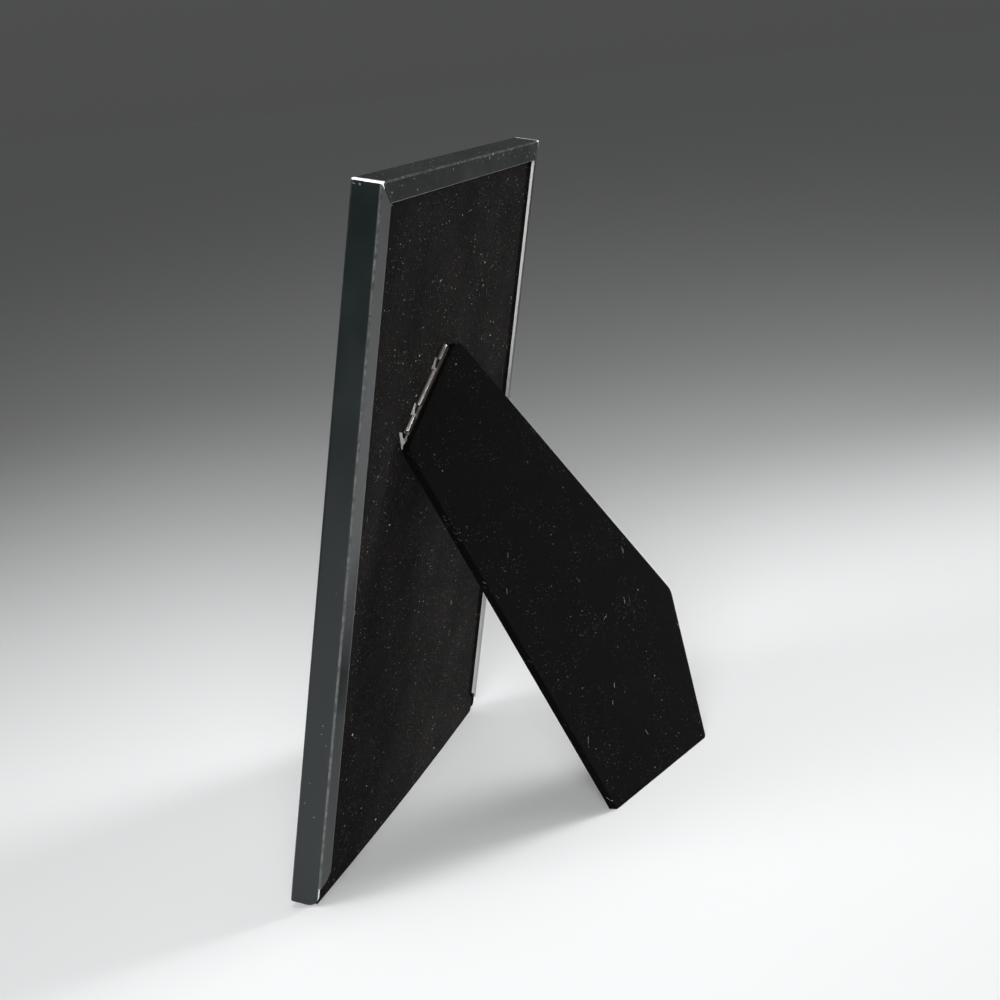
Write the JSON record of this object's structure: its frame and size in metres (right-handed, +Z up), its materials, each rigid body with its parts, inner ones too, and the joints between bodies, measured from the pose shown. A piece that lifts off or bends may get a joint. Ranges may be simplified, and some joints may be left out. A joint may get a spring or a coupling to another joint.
{
  "type": "easel back photo frame",
  "caption": "Slim folded-metal photo frame that stands on a velvet slide-in back with a hinged leg on a slanted pin, for upright or sideways display.",
  "frame": {"origin": "on the table, below the middle of the standing frame's outer box", "axes": "+Z up; -Y the way the picture faces; +X to the right seen from the front, which is the side the slanted hinge is on"},
  "size_m": [0.155, 0.0982, 0.2021],
  "materials": {
    "frame_paint": "satin",
    "clear_glass": "gloss",
    "print_paper": "satin",
    "filler_card": "matte",
    "black_board": "matte",
    "black_velvet": "matte",
    "lining_paper": "matte",
    "nickel_plate": "satin"
  },
  "bodies": {
    "frame": {"frame_shell": "frame_paint", "glass_pane": "clear_glass"},
    "photo_pack": {"photo_print": "print_paper", "filler_card": "filler_card"},
    "back_panel": {"back_board": "black_board", "back_velvet": "black_velvet", "back_lining": "lining_paper", "hinge_back_leaf": "nickel_plate", "hinge_pin": "nickel_plate", "back_leaf_rivets": "nickel_plate"},
    "leg": {"leg_board": "black_board", "leg_velvet": "black_velvet", "leg_lining": "lining_paper", "hinge_leg_leaf": "nickel_plate", "leg_leaf_rivets": "nickel_plate"}
  },
  "joints": [
    {"name": "back_slide", "type": "slide", "parent": "frame", "child": "back_panel", "axis": [0, -0.2317, -0.9728], "range_m": [0, 0.206]},
    {"name": "print_slide", "type": "slide", "parent": "frame", "child": "photo_pack", "axis": [0, -0.2317, -0.9728], "range_m": [0, 0.206]},
    {"name": "leg_fold", "type": "hinge", "parent": "back_panel", "child": "leg", "pos_m": [0.0217, -0.00856, 0.13748], "axis": [0.8387, -0.1262, -0.5298], "range_deg": [-31.25, 0]}
  ]
}
